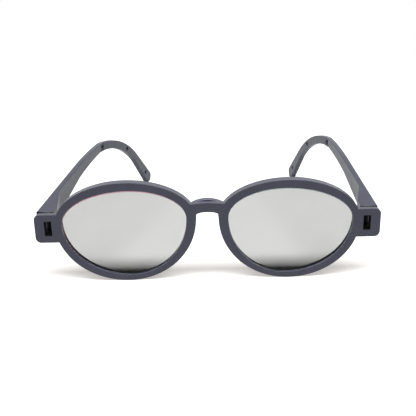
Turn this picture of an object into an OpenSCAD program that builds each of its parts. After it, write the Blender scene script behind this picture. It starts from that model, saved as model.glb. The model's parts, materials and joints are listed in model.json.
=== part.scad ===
// Polarised glasses with oval eyes, a two-part frame, laminated film lenses and folding arms
// The front looks towards -Y, the arms run towards +Y, the table is z = 0, the wearer's left is +X

/* [Eye openings] */
// Sideways place of each opening's highest and lowest point, from the middle
eye_mid_x = 32; // [29:0.5:36]
// Reach of an opening from there towards the nose
eye_nasal_w = 23.4; // [19:0.2:24]
// Reach of an opening from there towards the temple
eye_temple_w = 27.7; // [24:0.2:28]
// Height of an opening
eye_h = 37.3; // [32:0.1:42]
// Height of the point nearest the nose over the opening's lowest point
eye_nasal_rise = 24.9; // [20:0.1:28]
// Height of the point nearest the temple over the opening's lowest point
eye_temple_rise = 23.0; // [19:0.1:26]

/* [Rims] */
// Width of the rim over an eye
rim_top_w = 3.5; // [3:0.1:5]
// Width of the rim under an eye
rim_low_w = 2.5; // [2.2:0.1:4]
// Width of the rim beside the nose
rim_nasal_w = 4.0; // [3:0.1:5]
// Width of the rim at the temple
rim_temple_w = 3.0; // [2.6:0.1:3.4]
// How far the rim's highest point lies outward of the opening's
rim_shift = 1.4; // [0:0.1:2.5]

/* [Frame depths] */
// Depth of the front cover, front to back
cover_t = 2.4; // [2:0.1:3.4]
// Depth of the back frame
back_t = 1.7; // [1.4:0.1:2.4]
// Depth of the lip in front of the lens
lip_t = 1.4; // [0.8:0.05:1.45]
// Extra opening of the back frame all round
back_relief = 0.3; // [0.1:0.05:0.6]
// Gap between frame pieces that locate each other
fit_gap = 0.05; // [0.03:0.01:0.1]

/* [End pieces] */
// Height of an end piece
end_h = 12.3; // [11.5:0.1:14]
// Height of its lower edge over the table
end_z = 17.9; // [16:0.1:19]
// Corner radius of an end piece
end_r = 2.3; // [1:0.1:3]
// Width of the hinge window
window_w = 3.0; // [2:0.1:3.6]
// Height of the hinge window
window_h = 6.4; // [5:0.1:8]

/* [Bridge] */
// Height of the nose gap over the table
gap_top_z = 30.05; // [28:0.05:31]
// Radius of the arch over the nose
gap_arch_r = 18; // [10:0.1:20]
// Corner radius of the nose gap
gap_corner_r = 0.5; // [0.4:0.1:1.2]
// Height of the front bridge at the middle
bridge_h = 4.05; // [3:0.05:5]
// Radius of the front bridge's top arch
bridge_arch_r = 48; // [30:1:80]
// How far the back bridge rises over the front bridge
back_bridge_rise = 0.55; // [0.2:0.05:1.5]
// Radius of the back bridge's top arch
back_bridge_r = 13.6; // [11:0.1:20]
// Gap between the front bridge and the back bridge
bridge_gap = 0.6; // [0.3:0.05:0.9]
// Depth of the back bridge
back_bridge_t = 1.9; // [1.5:0.1:2.6]

/* [Lenses] */
// How far a lens reaches under the rim
lens_lap = 1.0; // [0.6:0.05:1.1]
// Thickness of the retarder film on the front of a lens
retarder_t = 0.1; // [0.06:0.01:0.15]
// Thickness of each clear sheet
sheet_t = 0.25; // [0.15:0.01:0.28]
// Thickness of the polarising film between the sheets
film_t = 0.15; // [0.08:0.01:0.2]

/* [Locating pegs] */
// Radius of a locating peg
peg_r = 0.5; // [0.35:0.05:0.6]
// Length of a locating peg
peg_l = 1.1; // [0.7:0.1:1.4]

/* [Pry notch] */
// Place of the notch round the wearer's left rim, in degrees up from the temple
notch_turn = 45; // [35:1:60]
// Length of the notch along the rim
notch_l = 1.9; // [1:0.1:3]
// Depth of the notch from the rim's edge
notch_deep = 0.9; // [0.5:0.05:1.1]
// Width of the notch behind the parting line
notch_w = 0.7; // [0.4:0.05:1]

/* [Hinges] */
// Distance of a hinge axis outside the rim
hinge_out = 2.8; // [2.6:0.1:3.4]
// Reach of the frame beyond a hinge axis
end_reach = 5.5; // [5:0.1:6]
// Distance of a hinge axis behind the front cover
hinge_back = 4.6; // [4.5:0.1:5.4]
// Radius of the knuckle on the back frame
knuckle_r = 2.2; // [1.8:0.1:2.3]
// Height of the knuckle
knuckle_h = 5.0; // [4:0.1:5.6]
// Width of the neck that carries the knuckle
neck_w = 1.8; // [1.4:0.1:2.2]
// Radius of the hinge pin
pin_r = 0.8; // [0.6:0.05:1]
// Running clearance round the pin
pin_clear = 0.04; // [0.02:0.01:0.08]
// How far the pin stops short of the arm's underside
pin_inset = 0.5; // [0.3:0.1:1]
// How far the pin reaches into the arm over the knuckle
pin_hold = 2.3; // [1.5:0.1:2.6]
// Gap between moving faces at the hinge
hinge_gap = 0.35; // [0.3:0.05:0.5]

/* [Arms] */
// Toe-in of an open arm, in degrees
toe_in = 4.5; // [3:0.1:7]
// Reach of the arm's outer face beyond the hinge axis
arm_out = 4.5; // [4:0.1:4.6]
// Reach of the hinge block inward of the hinge axis
block_in = 2.6; // [2.4:0.1:2.6]
// Distance behind the axis over which the block keeps its full width
block_l = 1.6; // [1:0.1:3]
// Length of the ramp from the block to the plate
ramp_l = 13.5; // [8:0.5:20]
// Thickness of the arm's plate
arm_t = 2.5; // [2:0.1:3]
// How far in front of the hinge axis the arm's upper edge begins to rise
rise_start = 2.9; // [2:0.1:4]
// Slope of the straight stretch, in degrees
arm_slope = 7.9; // [5:0.1:9]
// Length of the straight stretch
arm_straight = 43; // [35:1:55]
// Radius of the arm's upper edge over the temple
crest_r = 222; // [150:1:300]
// Radius of the arm's upper edge round the ear
hook_r = 61; // [45:0.1:65]
// Angle of the ear hook, in degrees
hook_angle = 44.6; // [40:0.1:50]
// Height of the arm halfway along the straight stretch
arm_h_mid = 9.0; // [7:0.1:10]
// Height of the arm at the end of the straight stretch
arm_h_end = 5.8; // [5:0.1:8]
// Height of the arm over the ear
arm_h_ear = 4.3; // [3.8:0.1:6]
// Height of the arm at the tip
arm_h_tip = 6.3; // [5:0.1:8]
// Distance behind the hinge axis at which the arm turns inward
bend_y = 70; // [55:0.5:75]
// Radius of that turn
bend_r = 45; // [35:0.5:60]
// Angle of that turn, in degrees
bend_angle = 8.5; // [5:0.5:12]
// Radius of the cord holes in the arms
cord_r = 1.1; // [0.8:0.05:1.2]
// Distance between neighbouring cord holes along the arm
cord_pitch = 30.4; // [25:0.1:32]
// Distance of the last cord hole from the arm's end
cord_end = 8.4; // [6:0.1:10]

/* [Pose as photographed] */
// Angle by which the wearer's right arm is folded in, in degrees
right_fold_angle = 7; // [0:0.1:20]

/* [Hidden] */

$fn = 64;
quarter_steps = 36;
arc_steps = 14;
cord_holes = 3;
overrun = 1;

// Shared places
eye_low_z = rim_low_w;
eye_top_z = eye_low_z + eye_h;
rim_mid_x = eye_mid_x + rim_shift;
rim_top_z = eye_top_z + rim_top_w;
hinge_y = cover_t + hinge_back;
frame_back_y = cover_t + back_t;
window_z = end_z + end_h / 2;
bridge_top_z = gap_top_z + bridge_h;
lens_y = lip_t + fit_gap;
front_sheet_y = lens_y + retarder_t;
film_y = front_sheet_y + sheet_t;
back_sheet_y = film_y + film_t;
ring_y = back_sheet_y + sheet_t + fit_gap;
nasal_x = eye_mid_x - eye_nasal_w;
temple_x = eye_mid_x + eye_temple_w;
rim_x = temple_x + rim_temple_w;
hinge_x = rim_x + hinge_out;
end_x = hinge_x + end_reach;
block_front = hinge_back - hinge_gap;
block_top_z = end_z + end_h;
block_low_z = end_z;
knuckle_z = window_z - knuckle_h / 2;
slot_z = knuckle_z - hinge_gap;
slot_h = knuckle_h + 2 * hinge_gap;
slot_back = knuckle_r + hinge_gap;
pin_top_z = slot_z + slot_h + pin_hold;
back_edge_x = hinge_x - block_in - hinge_gap;

// One quarter of an oval, from start degrees on
function quarter(cx, cz, a, b, start) =
    [for (i = [0 : quarter_steps - 1])
        let (t = start + 90 * i / quarter_steps)
        [cx + a * cos(t), cz + b * sin(t)]];

// Closed oval with its four extreme points each set on their own, grown by g all round
function oval(mid, top, low, nasal, nasal_z, temple, temple_z, g = 0) = concat(
    quarter(mid, temple_z, temple - mid + g, top - temple_z + g, 0),
    quarter(mid, nasal_z, mid - nasal + g, top - nasal_z + g, 90),
    quarter(mid, nasal_z, mid - nasal + g, nasal_z - low + g, 180),
    quarter(mid, temple_z, temple - mid + g, temple_z - low + g, 270));

function eye_outline(g = 0) = oval(eye_mid_x, eye_top_z, eye_low_z,
    nasal_x, eye_low_z + eye_nasal_rise, temple_x, eye_low_z + eye_temple_rise, g);

function rim_outline() = oval(rim_mid_x, rim_top_z, 0,
    nasal_x - rim_nasal_w, eye_low_z + eye_nasal_rise,
    rim_x, eye_low_z + eye_temple_rise);

// Drawn flat as seen from behind the lens and stood up so that it runs from y0 to y0 + t
module upright(y0, t) {
    translate([0, y0 + t, 0]) rotate([90, 0, 0]) linear_extrude(t) children();
}

// Puts the origin under the middle of the open glasses
module centred() {
    translate([0, -open_depth / 2, 0]) children();
}

// A piece and its mirror image
module both_sides() {
    children();
    mirror([1, 0, 0]) children();
}

// Place on the hinge axis of the wearer's left arm
module at_hinge() {
    translate([hinge_x, hinge_y, 0]) children();
}

// Plate outside the rim that carries the hinge
module end_piece_2d() {
    translate([temple_x, end_z]) square([end_x - end_r - temple_x, end_h]);
    translate([end_x - end_r - overrun, end_z + end_r]) square([end_r + overrun, end_h - 2 * end_r]);
    for (z = [end_z + end_r, end_z + end_h - end_r])
        translate([end_x - end_r, z]) circle(end_r);
}

module window_2d() {
    translate([hinge_x - window_w / 2, window_z - window_h / 2]) square([window_w, window_h]);
}

// Stretch between the rims, from the nose gap's arch up to an arch of radius top_r at top_z
module bridge_2d(top_z, top_r, half_w) {
    difference() {
        intersection() {
            translate([-half_w, gap_top_z - bridge_h]) square([2 * half_w, 3 * bridge_h]);
            translate([0, top_z - top_r]) circle(top_r, $fn = 160);
        }
        nose_gap_2d();
    }
}

// Space for the nose, with its rounded upper corners
module nose_gap_2d() {
    half = nasal_x - rim_nasal_w;
    side_z = gap_top_z - gap_arch_r + sqrt(gap_arch_r * gap_arch_r - half * half);
    low_z = side_z - gap_corner_r;
    intersection() {
        translate([0, gap_top_z - gap_arch_r]) circle(gap_arch_r, $fn = 160);
        union() {
            translate([-half, 0]) square([2 * half, low_z]);
            translate([gap_corner_r - half, 0]) square([2 * (half - gap_corner_r), gap_top_z]);
            for (s = [-1, 1])
                translate([s * (half - gap_corner_r), low_z]) circle(gap_corner_r);
        }
    }
}

// Both rims, with the eye openings grown by eye_g all round
module rims_2d(eye_g) {
    both_sides() difference() {
        polygon(rim_outline());
        polygon(eye_outline(eye_g));
    }
}

// Places of the locating pegs on one side
function peg_places() = [
    [rim_mid_x, eye_top_z + (rim_top_w + lens_lap + fit_gap) / 2],
    [nasal_x - (rim_nasal_w + lens_lap + fit_gap) / 2, eye_low_z + eye_nasal_rise],
    [(temple_x + lens_lap + fit_gap + back_edge_x) / 2, eye_low_z + eye_temple_rise]];

module pegs(y0, l, r) {
    both_sides() for (p = peg_places())
        translate([p[0], y0 + l, p[1]]) rotate([90, 0, 0]) cylinder(l, r, r, $fn = 24);
}

module front_cover() {
    color("#4a4a54") centred() difference() {
        upright(0, cover_t) difference() {
            union() {
                rims_2d(0);
                both_sides() end_piece_2d();
                bridge_2d(bridge_top_z, bridge_arch_r, nasal_x);
            }
            both_sides() polygon(eye_outline());
            both_sides() window_2d();
        }
        // Pockets for the lenses
        both_sides() upright(lip_t, cover_t - lip_t + overrun) polygon(eye_outline(lens_lap + fit_gap));
        pegs(cover_t - peg_l - fit_gap, peg_l + fit_gap + overrun, peg_r + fit_gap);
    }
}

// Neck and knuckle at one end of the back frame
module hinge_knuckle() {
    root_x = temple_x + rim_temple_w / 2;
    foot = [hinge_x - (window_w + neck_w) / 2, cover_t];
    axis = [hinge_x, hinge_y];
    along = (axis - foot) / norm(axis - foot);
    half = neck_w / 2 * [-along[1], along[0]];
    behind = foot + half + along * (back_t - half[1]) / along[1];
    translate([0, 0, knuckle_z]) linear_extrude(knuckle_h) {
        translate(axis) circle(knuckle_r);
        polygon([[root_x, cover_t], [foot[0] - half[0], cover_t],
            axis - half, axis + half, behind, [root_x, frame_back_y]]);
    }
}

// Slot in the wearer's left rim for prying the two frame pieces apart
module pry_notch() {
    across = [rim_x - rim_mid_x, rim_top_z - eye_low_z - eye_temple_rise];
    on_rim = [across[0] * cos(notch_turn), across[1] * sin(notch_turn)];
    outward = atan2(on_rim[1] / pow(across[1], 2), on_rim[0] / pow(across[0], 2));
    translate([rim_mid_x + on_rim[0], cover_t, eye_low_z + eye_temple_rise + on_rim[1]])
        rotate([0, -outward, 0]) translate([-notch_deep, -overrun, -notch_l / 2])
            cube([notch_deep + overrun, overrun + notch_w, notch_l]);
}

module back_frame() {
    color("#4c4c58") centred() difference() {
        union() {
            upright(cover_t, back_t) intersection() {
                translate([-back_edge_x, 0]) square([2 * back_edge_x, rim_top_z]);
                rims_2d(back_relief);
            }
            // Rings that hold the lenses in their pockets
            both_sides() upright(ring_y, cover_t - ring_y + back_t / 2) difference() {
                polygon(eye_outline(lens_lap - fit_gap));
                polygon(eye_outline(back_relief));
            }
            upright(cover_t + bridge_gap, back_bridge_t) difference() {
                bridge_2d(bridge_top_z + back_bridge_rise, back_bridge_r, nasal_x);
                both_sides() polygon(eye_outline(back_relief));
            }
            both_sides() hinge_knuckle();
            pegs(cover_t - peg_l, peg_l + back_t / 2, peg_r);
        }
        pry_notch();
        both_sides() at_hinge() translate([0, 0, knuckle_z - overrun])
            cylinder(knuckle_h + 2 * overrun, r = pin_r + pin_clear);
    }
}

// One layer of a lens, from y0 to y0 + t
module lens_layer(side, y0, t, shade) {
    color(shade) centred() mirror([side < 0 ? 1 : 0, 0, 0])
        upright(y0, t) polygon(eye_outline(lens_lap));
}

module right_retarder_film() lens_layer(-1, lens_y, retarder_t, "#d8c4c6");
module right_front_sheet() lens_layer(-1, front_sheet_y, sheet_t, "#c6c9c4");
module right_polarising_film() lens_layer(-1, film_y, film_t, "#8f948f");
module right_back_sheet() lens_layer(-1, back_sheet_y, sheet_t, "#c6c9c4");
module left_retarder_film() lens_layer(1, lens_y, retarder_t, "#c4d4ca");
module left_front_sheet() lens_layer(1, front_sheet_y, sheet_t, "#c6c9c4");
module left_polarising_film() lens_layer(1, film_y, film_t, "#8f948f");
module left_back_sheet() lens_layer(1, back_sheet_y, sheet_t, "#c6c9c4");

// Arm, drawn round its hinge axis and running along +Y, with a tip that just reaches the table
block_h = block_top_z - block_low_z;
tip_r = arm_h_tip / 2;
crest_l = crest_r * arm_slope * PI / 180;
hook_l = hook_r * hook_angle * PI / 180;
crest_mid = [arm_straight * cos(arm_slope) - rise_start + crest_r * sin(arm_slope),
    block_top_z + arm_straight * sin(arm_slope) - crest_r * cos(arm_slope)];
hook_mid = [crest_mid[0], crest_mid[1] + crest_r - hook_r];
hook_end = hook_mid + hook_r * [sin(hook_angle), cos(hook_angle)];
hook_end_s = arm_straight + crest_l + hook_l;
tip_s = hook_end_s + (hook_end[1] - tip_r * (1 + cos(hook_angle))) / sin(hook_angle);
arm_l = tip_s + tip_r;
turn_r = bend_r - arm_t / 2;
tip_mid = below_edge(tip_s, tip_r);
open_depth = hinge_y + (tip_mid[0] + tip_r) * cos(toe_in) + wall_mid(tip_mid[0])[0] * sin(toe_in);

// Slope of the upper edge s along it
function edge_angle(s) =
    s < arm_straight ? arm_slope :
    s < arm_straight + crest_l ? arm_slope - (s - arm_straight) / crest_r * 180 / PI :
    s < hook_end_s ? -(s - arm_straight - crest_l) / hook_r * 180 / PI : -hook_angle;

// Point of the upper edge s along it
function edge_point(s) =
    let (a = edge_angle(s))
    s < arm_straight ? [s * cos(a) - rise_start, block_top_z + s * sin(a)] :
    s < arm_straight + crest_l ? crest_mid + crest_r * [-sin(a), cos(a)] :
    s < hook_end_s ? hook_mid + hook_r * [-sin(a), cos(a)] :
    hook_end + (s - hook_end_s) * [cos(a), sin(a)];

// Height of the arm, square to its upper edge, s along it
function arm_height(s) = lookup(s, [
    [0, block_h / cos(arm_slope)],
    [arm_straight / 2, arm_h_mid],
    [arm_straight, arm_h_end],
    [arm_straight + crest_l, arm_h_ear],
    [hook_end_s, arm_h_ear],
    [tip_s, arm_h_tip]]);

// Point below the upper edge, s along it
function below_edge(s, down) =
    let (a = edge_angle(s)) edge_point(s) + down * [sin(a), -cos(a)];

// Places along the arm where its outline gets a point
function arm_stations() = concat(
    [0, arm_straight / 2],
    [for (i = [0 : arc_steps]) arm_straight + crest_l * i / arc_steps],
    [for (i = [1 : 2 * arc_steps]) arm_straight + crest_l + hook_l * i / (2 * arc_steps)],
    [tip_s]);

module arm_side_2d() {
    upper = [for (s = arm_stations()) edge_point(s)];
    lower = [for (s = arm_stations()) below_edge(s, arm_height(s))];
    round_end = [for (i = [1 : arc_steps - 1])
        let (a = 90 - hook_angle - 180 * i / arc_steps) tip_mid + tip_r * [cos(a), sin(a)]];
    polygon(concat(
        [[-block_front - overrun, block_top_z]], upper, round_end,
        [for (i = [len(lower) - 1 : -1 : 0]) lower[i]],
        [[-block_front - overrun, block_low_z]]));
}

// Sideways place and turn of the middle of the arm's wall, u behind the hinge axis
function wall_mid(u) =
    let (mid_x = arm_out - bend_r, q = u - bend_y, turn = asin(min(max(q, 0) / turn_r, sin(bend_angle))))
    [mid_x + turn_r * cos(turn) - max(0, q - turn_r * sin(bend_angle)) * tan(bend_angle), turn];

// Points of one face of the arm behind the bend, r from the middle of the turn
function bend_face(r) = concat(
    [for (i = [0 : arc_steps])
        let (a = bend_angle * i / arc_steps) [arm_out - bend_r + r * cos(a), bend_y + r * sin(a)]],
    [[arm_out - bend_r + r * cos(bend_angle) - arm_l * sin(bend_angle),
        bend_y + r * sin(bend_angle) + arm_l * cos(bend_angle)]]);

module arm_plan_2d() {
    inner = bend_face(bend_r - arm_t);
    difference() {
        polygon(concat(
            [[arm_out, -block_front - overrun]], bend_face(bend_r),
            [for (i = [len(inner) - 1 : -1 : 0]) inner[i]],
            [[arm_out - arm_t, block_l + ramp_l], [-block_in, block_l],
             [-block_in, -block_front - overrun]]));
        // Flat front that meets the end piece when the arm is open
        rotate(toe_in) translate([-2 * block_front, -3 * block_front])
            square([4 * block_front, 2 * block_front]);
        // Round inner corner that clears the end piece as the arm folds
        difference() {
            translate([-2 * block_front, -2 * block_front]) square(2 * block_front);
            circle(block_front);
        }
    }
}

// Places of the cord holes along the arm, counted from its end
function cord_places() = [for (i = [0 : cord_holes - 1]) arm_l - cord_end - i * cord_pitch];

module arm() {
    reach = arm_out + arm_l;
    difference() {
        intersection() {
            translate([-reach / 2, 0, 0]) rotate([90, 0, 90]) linear_extrude(reach) arm_side_2d();
            linear_extrude(block_top_z + arm_l) arm_plan_2d();
        }
        // Slot for the knuckle
        translate([-block_in - overrun, -block_front - overrun, slot_z])
            cube([arm_out + block_in + 2 * overrun, block_front + overrun + slot_back, slot_h]);
        // Pin bore, closed at the top
        translate([0, 0, block_low_z - overrun])
            cylinder(pin_top_z - block_low_z + overrun + pin_clear, r = pin_r + pin_clear / 2);
        for (s = cord_places()) {
            p = below_edge(s, arm_height(s) / 2);
            wall = wall_mid(p[0]);
            translate([wall[0], p[0], p[1]]) rotate([0, 90, wall[1]])
                cylinder(2 * arm_t, r = cord_r, center = true);
        }
    }
}

module hinge_pin() {
    translate([0, 0, block_low_z + pin_inset])
        cylinder(pin_top_z - block_low_z - pin_inset, r = pin_r);
}

// Sets an arm's piece on the frame: side is 1 for the wearer's left, -1 for the right
module on_side(side, fold) {
    centred() mirror([side < 0 ? 1 : 0, 0, 0]) at_hinge() rotate([0, 0, toe_in + fold]) children();
}

module right_arm() color("#66686f") on_side(-1, right_fold_angle) arm();
module left_arm() color("#66686f") on_side(1, 0) arm();
module right_hinge_pin() color("#8c8c90") on_side(-1, right_fold_angle) hinge_pin();
module left_hinge_pin() color("#8c8c90") on_side(1, 0) hinge_pin();

front_cover();
back_frame();
right_retarder_film();
right_front_sheet();
right_polarising_film();
right_back_sheet();
left_retarder_film();
left_front_sheet();
left_polarising_film();
left_back_sheet();
right_arm();
left_arm();
right_hinge_pin();
left_hinge_pin();
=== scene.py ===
import json
import math

import bmesh
import bpy
from mathutils import Euler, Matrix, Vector


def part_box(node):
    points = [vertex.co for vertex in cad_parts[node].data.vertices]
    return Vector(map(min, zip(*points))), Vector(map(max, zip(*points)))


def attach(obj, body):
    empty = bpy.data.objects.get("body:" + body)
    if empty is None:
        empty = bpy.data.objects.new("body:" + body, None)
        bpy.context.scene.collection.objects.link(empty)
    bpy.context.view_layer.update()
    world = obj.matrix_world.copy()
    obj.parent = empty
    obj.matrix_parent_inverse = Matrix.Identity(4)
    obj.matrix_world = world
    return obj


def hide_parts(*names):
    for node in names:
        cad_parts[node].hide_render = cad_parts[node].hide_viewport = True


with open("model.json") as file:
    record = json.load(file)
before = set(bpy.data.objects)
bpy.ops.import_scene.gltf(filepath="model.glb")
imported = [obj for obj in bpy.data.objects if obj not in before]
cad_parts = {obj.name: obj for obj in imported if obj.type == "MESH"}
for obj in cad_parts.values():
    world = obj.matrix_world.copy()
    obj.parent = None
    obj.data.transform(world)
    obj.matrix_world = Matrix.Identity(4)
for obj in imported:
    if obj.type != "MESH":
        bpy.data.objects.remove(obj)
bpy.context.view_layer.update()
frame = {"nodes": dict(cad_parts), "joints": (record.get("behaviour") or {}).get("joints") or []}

mm = 0.001
bridgeReach = 9 * mm                    # the bridge, to either side of the middle
sides = {"right": -1, "left": 1}        # the wearer's right is -X

# Places that several pieces share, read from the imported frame
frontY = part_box("front_cover")[0].y
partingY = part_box("front_cover")[1].y
hinges = {}
for joint in frame["joints"]:
    hinges[joint["child"]] = Vector(joint["pos_m"])
eyeMiddles = {}
for side in sides:
    eyeMiddles[sides[side]] = sum(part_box(side + "_back_sheet"), Vector()) / 2
print("frame loaded:", len(frame["nodes"]), "nodes")


# Materials

def linearColour(hexCode):
    channels = [int(hexCode[i:i + 2], 16) / 255 for i in (1, 3, 5)]
    return [c / 12.92 if c <= 0.04045 else ((c + 0.055) / 1.055) ** 2.4 for c in channels] + [1]


def addNode(tree, kind, settings=None, links=None):
    node = tree.nodes.new(kind)
    for name, value in (settings or {}).items():
        if isinstance(name, int) or name in node.inputs:
            node.inputs[name].default_value = value
        else:
            setattr(node, name, value)
    for name, socket in (links or {}).items():
        tree.links.new(socket, node.inputs[name])
    return node


def newMaterial(name):
    material = bpy.data.materials.new(name)
    material.use_nodes = True
    material.node_tree.nodes.clear()
    return material, material.node_tree


def setRamp(node, stops):
    for element, (place, colour) in zip(node.color_ramp.elements, stops):
        element.position = place
        element.color = colour


# ABS, injection moulded in a spark-eroded tool: satin, so edges catch a soft line of light and
# flats stay matt, with faint clouding from the flow of the melt
plasticLook = {
    "mottleMm": 6.0,          # clouding, one soft patch every few millimetres
    "mottleDetail": 3.0,
    "mottleRough": 0.6,
    "grainMm": 0.45,          # the tool's grain is about 0.05 mm; drawn coarser so that it shows
    "grainDetail": 2.0,
    "grainRough": 0.55,
    "grainDepthMm": 0.009,
    "grainStrength": 0.6,
    "noiseLow": 0.3,          # nearly all of a noise lies between these two
    "noiseHigh": 0.7,
    "roughSpread": 0.08,
    "ior": 1.58,
}


def mouldedPlastic(name, darkHex, lightHex, roughness, specular):
    look = plasticLook
    material, tree = newMaterial(name)
    place = addNode(tree, "ShaderNodeTexCoord").outputs["Object"]
    clouds = addNode(tree, "ShaderNodeTexNoise",
                     {"Scale": 1 / (look["mottleMm"] * mm), "Detail": look["mottleDetail"],
                      "Roughness": look["mottleRough"]},
                     {"Vector": place})
    grain = addNode(tree, "ShaderNodeTexNoise",
                    {"Scale": 1 / (look["grainMm"] * mm), "Detail": look["grainDetail"],
                     "Roughness": look["grainRough"]},
                    {"Vector": place})
    tone = addNode(tree, "ShaderNodeValToRGB", {}, {"Fac": clouds.outputs["Fac"]})
    setRamp(tone, [(look["noiseLow"], linearColour(darkHex)),
                   (look["noiseHigh"], linearColour(lightHex))])
    rough = addNode(tree, "ShaderNodeMapRange",
                    {"From Min": look["noiseLow"], "From Max": look["noiseHigh"],
                     "To Min": roughness - look["roughSpread"] / 2,
                     "To Max": roughness + look["roughSpread"] / 2},
                    {"Value": grain.outputs["Fac"]})
    bump = addNode(tree, "ShaderNodeBump",
                   {"Strength": look["grainStrength"], "Distance": look["grainDepthMm"] * mm},
                   {"Height": grain.outputs["Fac"]})
    surface = addNode(tree, "ShaderNodeBsdfPrincipled",
                      {"IOR": look["ior"], "Specular IOR Level": specular},
                      {"Base Color": tone.outputs["Color"], "Roughness": rough.outputs["Result"],
                       "Normal": bump.outputs["Normal"]})
    addNode(tree, "ShaderNodeOutputMaterial", {}, {"Surface": surface.outputs["BSDF"]})
    return material


# Cast acetate sheet and stretched film: glossy and so thin that the light goes straight through
filmIor = 1.49


def clearFilm(name, tintHex, alpha, roughness):
    material, tree = newMaterial(name)
    surface = addNode(tree, "ShaderNodeBsdfPrincipled",
                      {"Base Color": linearColour(tintHex), "Alpha": alpha,
                       "Roughness": roughness, "IOR": filmIor})
    addNode(tree, "ShaderNodeOutputMaterial", {}, {"Surface": surface.outputs["BSDF"]})
    return material


# Grey polariser: the eye looks square through it, while the light from above crosses it at a
# slant and is all but stopped, so the table behind the lenses stays dark
polariserLook = {"sight": 0.18, "light": 0.95, "rough": 0.3, "specular": 0.12}


def polariser(name, tintHex):
    look = polariserLook
    material, tree = newMaterial(name)
    path = addNode(tree, "ShaderNodeLightPath")
    lit = addNode(tree, "ShaderNodeMath", {"operation": "MAXIMUM"},
                  {0: path.outputs["Is Shadow Ray"], 1: path.outputs["Is Diffuse Ray"]})
    alpha = addNode(tree, "ShaderNodeMapRange", {"To Min": look["sight"], "To Max": look["light"]},
                    {"Value": lit.outputs["Value"]})
    surface = addNode(tree, "ShaderNodeBsdfPrincipled",
                      {"Base Color": linearColour(tintHex), "Roughness": look["rough"],
                       "Specular IOR Level": look["specular"]},
                      {"Alpha": alpha.outputs["Result"]})
    addNode(tree, "ShaderNodeOutputMaterial", {}, {"Surface": surface.outputs["BSDF"]})
    return material


# Stainless steel rod, drawn and cropped: fine lines along it stretch the highlight round it
steelLook = {"colour": "#b9b8b4", "lineMm": 0.12, "lineDetail": 2.0, "alongScale": 0.04,
             "roughLow": 0.22, "roughHigh": 0.38}


def drawnSteel():
    look = steelLook
    material, tree = newMaterial("drawnStainlessSteel")
    place = addNode(tree, "ShaderNodeTexCoord").outputs["Object"]
    stretched = addNode(tree, "ShaderNodeMapping", {"Scale": (1, 1, look["alongScale"])},
                        {"Vector": place})
    lines = addNode(tree, "ShaderNodeTexNoise",
                    {"Scale": 1 / (look["lineMm"] * mm), "Detail": look["lineDetail"]},
                    {"Vector": stretched.outputs["Vector"]})
    rough = addNode(tree, "ShaderNodeMapRange",
                    {"To Min": look["roughLow"], "To Max": look["roughHigh"]},
                    {"Value": lines.outputs["Fac"]})
    surface = addNode(tree, "ShaderNodeBsdfPrincipled",
                      {"Base Color": linearColour(look["colour"]), "Metallic": 1.0},
                      {"Roughness": rough.outputs["Result"]})
    addNode(tree, "ShaderNodeOutputMaterial", {}, {"Surface": surface.outputs["BSDF"]})
    return material


# The last two numbers are the roughness and the specular level
coverPlastic = mouldedPlastic("mouldedAbsCover", "#2e2f41", "#343649", 0.25, 0.4)
backPlastic = mouldedPlastic("mouldedAbsBackFrame", "#32354e", "#393c58", 0.33, 0.6)
armPlastic = mouldedPlastic("mouldedAbsArms", "#2b2d3f", "#3a3d50", 0.3, 0.4)
# Gaps, slots and inner walls, out of the light: painted shade, a near-black plastic put where the
# shade falls, rougher and less glossy
paintedShadePlastic = mouldedPlastic("paintedShadeAbs", "#07070a", "#0b0b0f", 0.6, 0.1)
# The last two numbers are the alpha and the roughness
clearSheet = clearFilm("castAcetateSheet", "#3b3c3a", 0.006, 0.06)
polarisingFilm = polariser("stretchedIodineFilm", "#161716")
retarderFilms = {
    "right": clearFilm("retarderFilmRight", "#4a383b", 0.006, 0.1),
    "left": clearFilm("retarderFilmLeft", "#37453d", 0.006, 0.1),
}
# Painted light: bright pink and teal bands that stand in for the light led through the retarder films'
# cut edges
retarderEdgeGlows = {
    "right": clearFilm("paintedEdgeGlowRight", "#f03a7c", 0.46, 0.4),
    "left": clearFilm("paintedEdgeGlowLeft", "#1fb89a", 0.32, 0.4),
}
pinSteel = drawnSteel()
print("materials made:", len(bpy.data.materials))


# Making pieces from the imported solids
meshLook = {
    "flatAngle": 0.3,         # flatter seams than this are dissolved
    "edgeAngle": 25,          # edges sharper than this can be rounded
    "creaseAngle": 38,        # edges sharper than this stay creases in the shading
    "wallLean": 0.5,          # a wall's normal has at most this much of Y
}


def openNode(node, weldMm=0.001):
    mesh = bmesh.new()
    mesh.from_mesh(frame["nodes"][node].data)
    bmesh.ops.remove_doubles(mesh, verts=mesh.verts, dist=weldMm * mm)
    bmesh.ops.dissolve_limit(mesh, angle_limit=math.radians(meshLook["flatAngle"]),
                             verts=mesh.verts, edges=mesh.edges)
    return mesh


def sharpEdges(mesh):
    return [e for e in mesh.edges if len(e.link_faces) == 2
            and e.calc_face_angle(0) > math.radians(meshLook["edgeAngle"])]


def atDepth(edge, y, slackMm=0.02):
    return all(abs(v.co.y - y) < slackMm * mm for v in edge.verts)


def isWall(face):
    return abs(face.normal.y) < meshLook["wallLean"]


# Walls of the openings for the lenses look towards the middle of an eye
def facesEye(face):
    middle = face.calc_center_median()
    towards = eyeMiddles[-1 if middle.x < 0 else 1] - middle
    return isWall(face) and abs(middle.x) > bridgeReach and face.normal.dot(towards) > 0


# The shortest edges, in tiny corner arcs, are closed up first, or the rounding would fold over
def roundEdges(mesh, chosen, radiusMm, segments=3, shortestMm=0.3):
    short = [e for e in sharpEdges(mesh) if chosen(e) and e.calc_length() < shortestMm * mm]
    if short:
        bmesh.ops.collapse(mesh, edges=short)
    edges = [e for e in sharpEdges(mesh) if chosen(e)]
    bmesh.ops.bevel(mesh, geom=edges, offset=radiusMm * mm, offset_type="OFFSET",
                    segments=segments, profile=0.5, affect="EDGES", clamp_overlap=False,
                    miter_outer="SHARP", miter_inner="SHARP")


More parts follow.
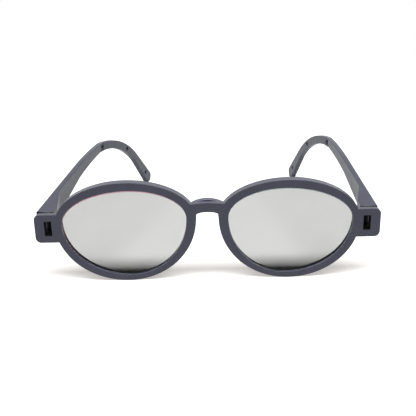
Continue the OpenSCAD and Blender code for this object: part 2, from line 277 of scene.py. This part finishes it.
def finishPiece(mesh, name, body, slot, replaced, *materials):
    bmesh.ops.recalc_face_normals(mesh, faces=mesh.faces)
    data = bpy.data.meshes.new(name)
    mesh.to_mesh(data)
    mesh.free()
    data.polygons.foreach_set("use_smooth", [True] * len(data.polygons))
    data.set_sharp_from_angle(angle=math.radians(meshLook["creaseAngle"]))
    piece = bpy.data.objects.new(name, data)
    bpy.context.scene.collection.objects.link(piece)
    for material in materials:
        data.materials.append(material)
    weighted = piece.modifiers.new("evenNormals", "WEIGHTED_NORMAL")
    weighted.keep_sharp = True
    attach(piece, body)
    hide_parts(replaced)
    return piece


# Front cover
coverLook = {
    "edgeMm": 0.18,
    "eyeEdgeMm": 0.18,
    "windowMm": 0.25,
    "windowReachMm": 2.2,           # the hinge window, to either side of the hinge
    "windowHalfHeightMm": 3.7,
    "windowWallLean": 0.3,
    "partingMm": 0.12,
    "outlineMm2": 1.5,              # outer walls are larger faces than those of pegs and pockets
}


def nearWindow(part):
    for hinge in hinges.values():
        if all(abs(v.co.x - hinge.x) < coverLook["windowReachMm"] * mm
               and abs(v.co.z - hinge.z) < coverLook["windowHalfHeightMm"] * mm for v in part.verts):
            return True
    return False


def onOutline(edge):
    return any(isWall(f) and f.calc_area() > coverLook["outlineMm2"] * mm * mm
               for f in edge.link_faces)


def makeFrontCover():
    look = coverLook
    mesh = openNode("front_cover")

    def roundsEye(edge):
        return any(map(facesEye, edge.link_faces))

    roundEdges(mesh, lambda e: atDepth(e, frontY) and nearWindow(e), look["windowMm"], 1)
    roundEdges(mesh, lambda e: atDepth(e, frontY) and roundsEye(e), look["eyeEdgeMm"], 3)
    roundEdges(mesh, lambda e: atDepth(e, frontY) and not nearWindow(e) and not roundsEye(e),
               look["edgeMm"], 4)
    roundEdges(mesh, lambda e: atDepth(e, partingY) and onOutline(e), look["partingMm"], 1)
    # Painted shade: the walls of the hinge window get the black painted-shade plastic
    for face in mesh.faces:
        if nearWindow(face) and abs(face.normal.y) < look["windowWallLean"]:
            face.material_index = 1
    return finishPiece(mesh, "frontCover", "frame", "frame_plastic", "front_cover",
                       coverPlastic, paintedShadePlastic)


makeFrontCover()
print("front cover made")


# Back frame with its rings, bridge and knuckles
backLook = {
    "depthMm": 1.7,
    "edgeMm": 0.16,
    "partingMm": 0.12,
    "bridgeGapMm": 0.6,             # the back bridge stands this far behind the parting line
    "bridgeTopMm": 0.6,
    "bridgeLowMm": 0.3,
    "bridgeMidMm": 31,              # height between the bridge's upper and lower edge
    "knuckleMm": 0.22,
    "knuckleRadiusMm": 2.2,
    "knuckleSlackMm": 0.05,
    "insideReachMm": 3.0,           # what lies behind a hinge window, to either side of the hinge
}


def makeBackFrame():
    look = backLook
    mesh = openNode("back_frame")
    backY = partingY + look["depthMm"] * mm
    bridgeY = partingY + look["bridgeGapMm"] * mm

    def onBridge(edge, above):
        inReach = all(abs(v.co.x) < bridgeReach for v in edge.verts)
        middleZ = (edge.verts[0].co.z + edge.verts[1].co.z) / 2
        return inReach and atDepth(edge, bridgeY) and (middleZ > look["bridgeMidMm"] * mm) == above

    def onKnuckle(edge):
        for hinge in hinges.values():
            radii = [(v.co - hinge).xy.length for v in edge.verts]
            if all(abs(r - look["knuckleRadiusMm"] * mm) < look["knuckleSlackMm"] * mm for r in radii):
                return True
        return False

    def behindWindow(middle):
        reach = look["insideReachMm"] * mm
        return any((middle - hinge).length < reach + hinge.y - partingY
                   and abs(middle.x - hinge.x) < reach for hinge in hinges.values())

    roundEdges(mesh, lambda e: onBridge(e, True), look["bridgeTopMm"], 4)
    roundEdges(mesh, lambda e: onBridge(e, False), look["bridgeLowMm"], 2)
    roundEdges(mesh, lambda e: atDepth(e, partingY) and onOutline(e), look["partingMm"], 1)
    roundEdges(mesh, lambda e: atDepth(e, backY), look["edgeMm"], 3)
    roundEdges(mesh, onKnuckle, look["knuckleMm"], 2)
    # Painted shade: what lies behind a hinge window, and the walls of the openings between the parting
    # line and the back, get the black painted-shade plastic
    for face in mesh.faces:
        middle = face.calc_center_median()
        if behindWindow(middle) or (facesEye(face) and partingY < middle.y < backY):
            face.material_index = 1
    return finishPiece(mesh, "backFrame", "frame", "frame_plastic", "back_frame",
                       backPlastic, paintedShadePlastic)


makeBackFrame()
print("back frame made")


# Lenses: four films each
lensLook = {
    "gapMm": 0.008,                 # taken off each face, so that no two films share one
    "edgeBandMm": 1.08,
    "edgeTopMm": 0.76,              # how much lower the band reaches at the top
    "edgeFootMm": 0.15,             # and at the foot
    "edgeLowMm": 9,                 # height at which the band ends
}


# The cut edge of the retarder film shows as a thin coloured line round the opening, from light led
# through the film:
# painted light, a band of the film's front with its own bright material, most of it under the rim. It
# reaches lower over the top, where the rim hides more of it from above, thins out downwards and ends
# near the table, where there is no light behind the film
# to colour: there the band's end is painted shade
def markEdgeGlow(mesh, frontFilmY):
    look = lensLook
    front = [f for f in mesh.faces if f.normal.y < -0.9
             and abs(f.calc_center_median().y - frontFilmY) < 0.001 * mm]
    band = bmesh.ops.inset_region(mesh, faces=front, thickness=look["edgeBandMm"] * mm,
                                  use_even_offset=True)["faces"]
    heights = [v.co.z for v in front[0].verts]
    middleZ = (min(heights) + max(heights)) / 2
    halfHeight = max(heights) - middleZ
    for vert in front[0].verts:
        rise = (vert.co.z - middleZ) / halfHeight
        drop = look["edgeTopMm"] * rise if rise > 0 else -look["edgeFootMm"] * rise
        vert.co.z -= drop * mm
    # Painted shade: the glow is left off the band's faces below edgeLowMm
    for face in band:
        if face.calc_center_median().z > look["edgeLowMm"] * mm:
            face.material_index = 1


def makeLensLayer(side, layer, slot, *materials):
    node = side + "_" + layer
    mesh = openNode(node)
    low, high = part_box(node)
    if len(materials) > 1:
        markEdgeGlow(mesh, low.y)
    middle = (low.y + high.y) / 2
    for vert in mesh.verts:
        vert.co.y += math.copysign(lensLook["gapMm"] * mm, middle - vert.co.y)
    words = layer.split("_")
    name = side + words[0].capitalize() + words[1].capitalize()
    return finishPiece(mesh, name, "frame", slot, node, *materials)


for side in sides:
    makeLensLayer(side, "retarder_film", side + "_retarder", retarderFilms[side], retarderEdgeGlows[side])
    makeLensLayer(side, "front_sheet", "lens_sheet", clearSheet)
    makeLensLayer(side, "polarising_film", "polarising_film", polarisingFilm)
    makeLensLayer(side, "back_sheet", "lens_sheet", clearSheet)
print("lenses made")


# Arms
armLook = {
    "weldMm": 0.03,
    "edgeMm": 0.36,
    "hingeMm": 4,                   # edges this near the hinge's axis stay as they are
    "holeMm": 0.2,
    "holeWallMm2": 0.8,             # a cord hole's wall is made of faces smaller than this
    "holeFromMm": 8,                # distance from the hinge at which such faces are a hole's
    "frontReachMm": 6.5,            # the end that faces the gap behind the cover
    "frontLean": 0.2,
    "slotReachMm": 6.0,             # the slot that holds the knuckle
}


def makeArm(side):
    look = armLook
    body = side + "_arm"
    mesh = openNode(body, look["weldMm"])
    hinge = hinges[body]

    def nearHinge(edge, reachMm):
        return all((v.co - hinge).xy.length < reachMm * mm for v in edge.verts)

    def isHole(edge):
        smallest = min(f.calc_area() for f in edge.link_faces)
        return smallest < look["holeWallMm2"] * mm * mm and not nearHinge(edge, look["holeFromMm"])

    roundEdges(mesh, isHole, look["holeMm"], 2, 0)
    roundEdges(mesh, lambda e: not nearHinge(e, look["hingeMm"]) and not isHole(e), look["edgeMm"], 3)
    # Painted shade: the end that faces the gap behind the cover and the walls of the knuckle's slot
    # get the black painted-shade plastic
    for face in mesh.faces:
        away = face.calc_center_median() - hinge
        intoGap = face.normal.y < -look["frontLean"] and away.xy.length < look["frontReachMm"] * mm
        intoSlot = face.normal.dot(away) < 0 and away.length < look["slotReachMm"] * mm
        if intoGap or intoSlot:
            face.material_index = 1
    return finishPiece(mesh, side + "Arm", body, "arm_plastic", body, armPlastic, paintedShadePlastic)


for side in sides:
    makeArm(side)
print("arms made")


# Hinge pins
pinLook = {"edgeMm": 0.2}


def makePin(side):
    node = side + "_hinge_pin"
    mesh = openNode(node)
    roundEdges(mesh, lambda e: True, pinLook["edgeMm"], 2, 0)
    return finishPiece(mesh, side + "HingePin", side + "_arm", "pin_steel", node, pinSteel)


for side in sides:
    makePin(side)
print("hinge pins made")


# White paper that fades out to the backdrop. What the camera sees of it straight, and not through
# a lens, glows a little, so that the paper is white and its shadows are light
floorLook = {"radiusMm": 900, "points": 96, "fadeFrom": 0.3, "fadeTo": 0.6,
             "colour": "#f3f3f1", "glow": "#fffaf5", "seenLift": 0.5}


def makeFloor():
    look = floorLook
    material, tree = newMaterial("whiteFloor")
    place = addNode(tree, "ShaderNodeTexCoord").outputs["Object"]
    reach = addNode(tree, "ShaderNodeVectorMath", {"operation": "LENGTH"}, {0: place})
    fade = addNode(tree, "ShaderNodeMapRange",
                   {"interpolation_type": "SMOOTHSTEP",
                    "From Min": look["fadeFrom"] * look["radiusMm"] * mm,
                    "From Max": look["fadeTo"] * look["radiusMm"] * mm},
                   {"Value": reach.outputs["Value"]})
    path = addNode(tree, "ShaderNodeLightPath")
    direct = addNode(tree, "ShaderNodeMapRange", {"To Min": look["seenLift"], "To Max": 0.0},
                     {"Value": path.outputs["Transparent Depth"]})
    lift = addNode(tree, "ShaderNodeMath", {"operation": "MULTIPLY"},
                   {0: path.outputs["Is Camera Ray"], 1: direct.outputs["Result"]})
    paper = addNode(tree, "ShaderNodeBsdfDiffuse", {"Color": linearColour(look["colour"])})
    glow = addNode(tree, "ShaderNodeEmission", {"Color": linearColour(look["glow"])},
                   {"Strength": lift.outputs["Value"]})
    both = addNode(tree, "ShaderNodeAddShader", {},
                   {0: paper.outputs["BSDF"], 1: glow.outputs["Emission"]})
    clear = addNode(tree, "ShaderNodeBsdfTransparent")
    mixed = addNode(tree, "ShaderNodeMixShader", {},
                    {0: fade.outputs["Result"], 1: both.outputs["Shader"], 2: clear.outputs["BSDF"]})
    addNode(tree, "ShaderNodeOutputMaterial", {}, {"Surface": mixed.outputs["Shader"]})
    bpy.ops.mesh.primitive_circle_add(vertices=look["points"], radius=look["radiusMm"] * mm,
                                      fill_type="NGON", location=(0, 0, 0))
    floor = bpy.context.object
    floor.name = "floor"
    floor.data.materials.append(material)


makeFloor()

# White backdrop, seen by the camera, in gloss and through the lenses; the object gets only the fill
worldLook = {"colour": "#ffffff", "fill": 0.024}


def makeWorld():
    look = worldLook
    world = bpy.data.worlds.new("whiteRoom")
    bpy.context.scene.world = world
    world.use_nodes = True
    tree = world.node_tree
    tree.nodes.clear()
    path = addNode(tree, "ShaderNodeLightPath")
    seen = addNode(tree, "ShaderNodeMath", {"operation": "MAXIMUM"},
                   {0: path.outputs["Is Camera Ray"], 1: path.outputs["Is Glossy Ray"]})
    shown = addNode(tree, "ShaderNodeMath", {"operation": "MAXIMUM"},
                    {0: seen.outputs["Value"], 1: path.outputs["Is Transmission Ray"]})
    strength = addNode(tree, "ShaderNodeMapRange", {"To Min": look["fill"], "To Max": 1.0},
                       {"Value": shown.outputs["Value"]})
    sky = addNode(tree, "ShaderNodeBackground", {"Color": linearColour(look["colour"])},
                  {"Strength": strength.outputs["Result"]})
    addNode(tree, "ShaderNodeOutputWorld", {}, {"Surface": sky.outputs["Background"]})


makeWorld()


# A broad softbox over and a little in front of the glasses, in metres and degrees
softbox = {"elevation": 73.2, "distance": 2.0, "width": 3.7, "depth": 0.68, "watts": 72.8}


def makeSoftbox():
    look = softbox
    data = bpy.data.lights.new("softbox", "AREA")
    data.shape = "RECTANGLE"
    data.size = look["width"]
    data.size_y = look["depth"]
    data.energy = look["watts"]
    lamp = bpy.data.objects.new("softbox", data)
    bpy.context.scene.collection.objects.link(lamp)
    target = Vector((0, frontY, 0))
    up = math.radians(look["elevation"])
    away = Vector((0, -math.cos(up), math.sin(up)))
    lamp.location = target + away * look["distance"]
    lamp.rotation_euler = away.to_track_quat("Z", "Y").to_euler()


makeSoftbox()
print("stage and light made")


# Camera, as the photograph was taken: from in front and above
cameraLook = {"aheadMm": 266.7, "heightMm": 134.1, "asideMm": 0.54, "tilt": 21.0, "roll": 1.15,
              "focalMm": 60.85, "sensorMm": 36, "nearestMm": 10, "shiftX": -0.0012, "shiftY": 0.0012}


def makeCamera():
    look = cameraLook
    data = bpy.data.cameras.new("camera")
    data.lens = look["focalMm"]
    data.sensor_width = look["sensorMm"]
    data.clip_start = look["nearestMm"] * mm
    data.shift_x = look["shiftX"]
    data.shift_y = look["shiftY"]
    camera = bpy.data.objects.new("camera", data)
    bpy.context.scene.collection.objects.link(camera)
    camera.location = (look["asideMm"] * mm, frontY - look["aheadMm"] * mm, look["heightMm"] * mm)
    aim = Euler((math.radians(90 - look["tilt"]), 0, 0)).to_matrix()
    roll = Euler((0, 0, math.radians(-look["roll"]))).to_matrix()
    camera.rotation_euler = (aim @ roll).to_euler()
    bpy.context.scene.camera = camera


makeCamera()
print("camera placed")

view = bpy.context.scene.view_settings
view.view_transform = "Standard"

bpy.context.view_layer.update()
